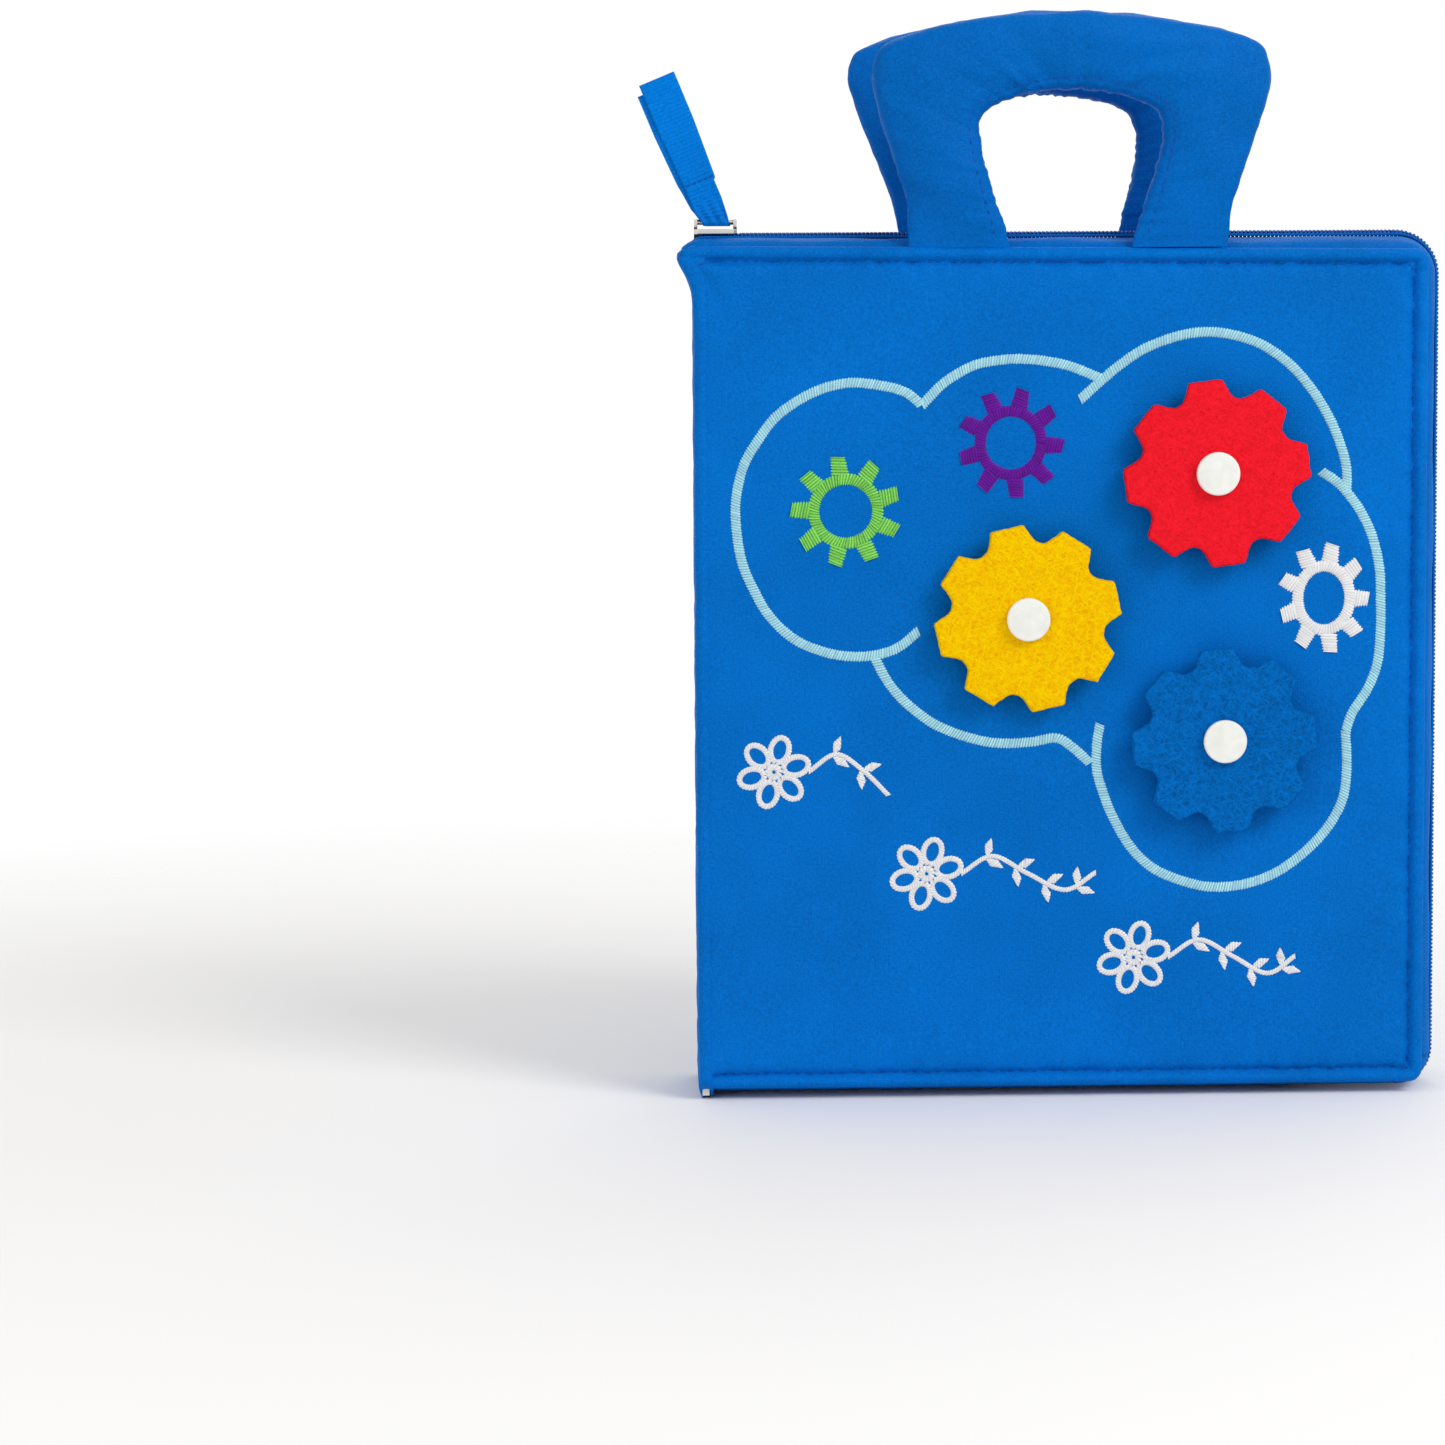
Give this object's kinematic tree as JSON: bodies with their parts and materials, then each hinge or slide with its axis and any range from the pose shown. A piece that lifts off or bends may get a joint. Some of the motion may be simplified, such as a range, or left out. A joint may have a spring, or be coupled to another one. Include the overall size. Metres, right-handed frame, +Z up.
{
  "type": "quiet book",
  "caption": "Padded cloth activity book that zips shut, with turning felt gears on its cover, stuffed toys and lacing on its pages, and two soft carrying handles.",
  "frame": {"origin": "foot of the spine, at its middle across the book's thickness", "axes": "+X from the spine to the fore edge, -Y out of the front cover, +Z up towards the handles"},
  "size_m": [0.2343, 0.0584, 0.313],
  "materials": {
    "cover_cloth": "satin woven cloth",
    "lining_cloth": "plain woven cloth",
    "padding": "soft foam",
    "zip_coil": "nylon coil",
    "slider_metal": "nickel",
    "ribbon_blue": "satin ribbon",
    "felt_red": "thick felt",
    "felt_yellow": "thick felt",
    "felt_blue": "thick felt",
    "felt_coral": "felt",
    "snap_plastic": "white moulded snap",
    "page_cloth": "white woven cloth",
    "plush_magenta": "short plush",
    "shoe_green": "woven cloth",
    "lace_white": "braided lace",
    "coat_red": "printed cloth",
    "ribbon_red": "ribbed ribbon",
    "zip_white": "nylon coil",
    "balloon_purple": "satin cloth",
    "balloon_green": "satin cloth",
    "balloon_red": "satin cloth",
    "balloon_blue": "satin cloth"
  },
  "bodies": {
    "back_cover": {"back_cover_outer": "cover_cloth", "back_cover_foam": "padding", "back_cover_lining": "lining_cloth", "back_gusset": "cover_cloth", "back_zip_row": "zip_coil", "back_zip_stop": "slider_metal"},
    "spine": {"spine_outer": "cover_cloth", "spine_foam": "padding", "spine_lining": "lining_cloth"},
    "front_cover": {"front_cover_outer": "cover_cloth", "front_cover_foam": "padding", "front_cover_lining": "lining_cloth", "front_gusset": "cover_cloth", "front_zip_row": "zip_coil", "front_zip_stop": "slider_metal", "red_gear_stud": "snap_plastic", "yellow_gear_stud": "snap_plastic", "blue_gear_stud": "snap_plastic"},
    "red_gear": {"red_gear": "felt_red", "red_gear_socket": "snap_plastic", "red_gear_cap": "snap_plastic"},
    "yellow_gear": {"yellow_gear": "felt_yellow", "yellow_gear_socket": "snap_plastic", "yellow_gear_cap": "snap_plastic"},
    "blue_gear": {"blue_gear": "felt_blue", "blue_gear_socket": "snap_plastic", "blue_gear_cap": "snap_plastic"},
    "front_handle": {"front_handle_cover": "cover_cloth", "front_handle_core": "padding"},
    "back_handle": {"back_handle_cover": "cover_cloth", "back_handle_core": "padding"},
    "zip_slider": {"zip_slider": "slider_metal"},
    "zip_pull": {"zip_pull_ribbon": "ribbon_blue"},
    "leaf_1": {"leaf_1": "page_cloth", "star_patch": "felt_coral", "star_centre": "felt_yellow", "plush_heart": "plush_magenta"},
    "leaf_2": {"leaf_2": "page_cloth", "shoe_collar": "shoe_green", "shoe_eyelet_1": "snap_plastic", "shoe_eyelet_2": "snap_plastic", "shoe_lace": "lace_white"},
    "leaf_3": {"leaf_3": "page_cloth", "coat_patch": "coat_red", "coat_zip": "zip_white"},
    "coat_slider": {"coat_zip_slider": "slider_metal", "coat_pull_ribbon": "ribbon_red"},
    "leaf_4": {"leaf_4": "page_cloth", "purple_balloon_stud": "snap_plastic", "green_balloon_stud": "snap_plastic", "red_balloon_stud": "snap_plastic", "blue_balloon_stud": "snap_plastic"},
    "purple_balloon": {"purple_balloon": "balloon_purple", "purple_balloon_socket": "snap_plastic"},
    "green_balloon": {"green_balloon": "balloon_green", "green_balloon_socket": "snap_plastic"},
    "red_balloon": {"red_balloon": "balloon_red", "red_balloon_socket": "snap_plastic"},
    "blue_balloon": {"blue_balloon": "balloon_blue", "blue_balloon_socket": "snap_plastic"}
  },
  "joints": [
    {"name": "spine_fold", "type": "hinge", "parent": "back_cover", "child": "spine", "pos_m": [0, 0.02075, 0], "axis": [0, 0, -1], "range_deg": [0, 90]},
    {"name": "front_cover_fold", "type": "hinge", "parent": "spine", "child": "front_cover", "pos_m": [0, -0.02075, 0], "axis": [0, 0, -1], "range_deg": [0, 90]},
    {"name": "leaf_1_turn", "type": "hinge", "parent": "spine", "child": "leaf_1", "pos_m": [0.0041, -0.01095, 0], "axis": [0, 0, -1], "range_deg": [0, 72]},
    {"name": "leaf_2_turn", "type": "hinge", "parent": "spine", "child": "leaf_2", "pos_m": [0.0041, -0.006, 0], "axis": [0, 0, -1], "range_deg": [0, 54]},
    {"name": "leaf_3_turn", "type": "hinge", "parent": "spine", "child": "leaf_3", "pos_m": [0.0041, 0.00545, 0], "axis": [0, 0, 1], "range_deg": [0, 54]},
    {"name": "leaf_4_turn", "type": "hinge", "parent": "spine", "child": "leaf_4", "pos_m": [0.0041, 0.0162, 0], "axis": [0, 0, 1], "range_deg": [0, 84]},
    {"name": "red_gear_spin", "type": "hinge", "parent": "front_cover", "child": "red_gear", "pos_m": [0.14699, -0.028, 0.18151], "axis": [0, -1, 0], "continuous": true},
    {"name": "yellow_gear_spin", "type": "hinge", "parent": "front_cover", "child": "yellow_gear", "pos_m": [0.09281, -0.028, 0.1402], "axis": [0, -1, 0], "continuous": true},
    {"name": "blue_gear_spin", "type": "hinge", "parent": "front_cover", "child": "blue_gear", "pos_m": [0.14931, -0.028, 0.10469], "axis": [0, -1, 0], "continuous": true},
    {"name": "front_handle_swing", "type": "hinge", "parent": "front_cover", "child": "front_handle", "pos_m": [0.1066, -0.0197, 0.24696], "axis": [1, 0, 0], "range_deg": [-10, 90]},
    {"name": "back_handle_swing", "type": "hinge", "parent": "back_cover", "child": "back_handle", "pos_m": [0.1066, 0.0197, 0.24696], "axis": [-1, 0, 0], "range_deg": [-10, 90]},
    {"name": "zip_slide", "type": "slide", "parent": "back_cover", "child": "zip_slider", "axis": [1, 0, 0], "range_m": [0, 0.19]},
    {"name": "zip_pull_swing", "type": "hinge", "parent": "zip_slider", "child": "zip_pull", "pos_m": [0.0045, 0, 0.2538], "axis": [1, 0, 0], "range_deg": [-85, 85]},
    {"name": "coat_zip_slide", "type": "slide", "parent": "leaf_3", "child": "coat_slider", "axis": [0, 0, -1], "range_m": [0, 0.06]},
    {"name": "purple_balloon_swing", "type": "hinge", "parent": "leaf_4", "child": "purple_balloon", "pos_m": [0.03146, 0.012, 0.09503], "axis": [0, -1, 0], "range_deg": [-12, 12]},
    {"name": "green_balloon_swing", "type": "hinge", "parent": "leaf_4", "child": "green_balloon", "pos_m": [0.07379, 0.012, 0.14664], "axis": [0, -1, 0], "range_deg": [-12, 12]},
    {"name": "red_balloon_swing", "type": "hinge", "parent": "leaf_4", "child": "red_balloon", "pos_m": [0.11708, 0.012, 0.1601], "axis": [0, -1, 0], "range_deg": [-12, 12]},
    {"name": "blue_balloon_swing", "type": "hinge", "parent": "leaf_4", "child": "blue_balloon", "pos_m": [0.16037, 0.012, 0.15113], "axis": [0, -1, 0], "range_deg": [-12, 12]}
  ],
  "couplings": [
    {"joint": "front_cover_fold", "follows": "spine_fold", "ratio": 1},
    {"joint": "leaf_1_turn", "follows": "spine_fold", "ratio": 0.8},
    {"joint": "leaf_2_turn", "follows": "spine_fold", "ratio": 0.6},
    {"joint": "leaf_3_turn", "follows": "spine_fold", "ratio": 0.6},
    {"joint": "leaf_4_turn", "follows": "spine_fold", "ratio": 0.93333}
  ]
}
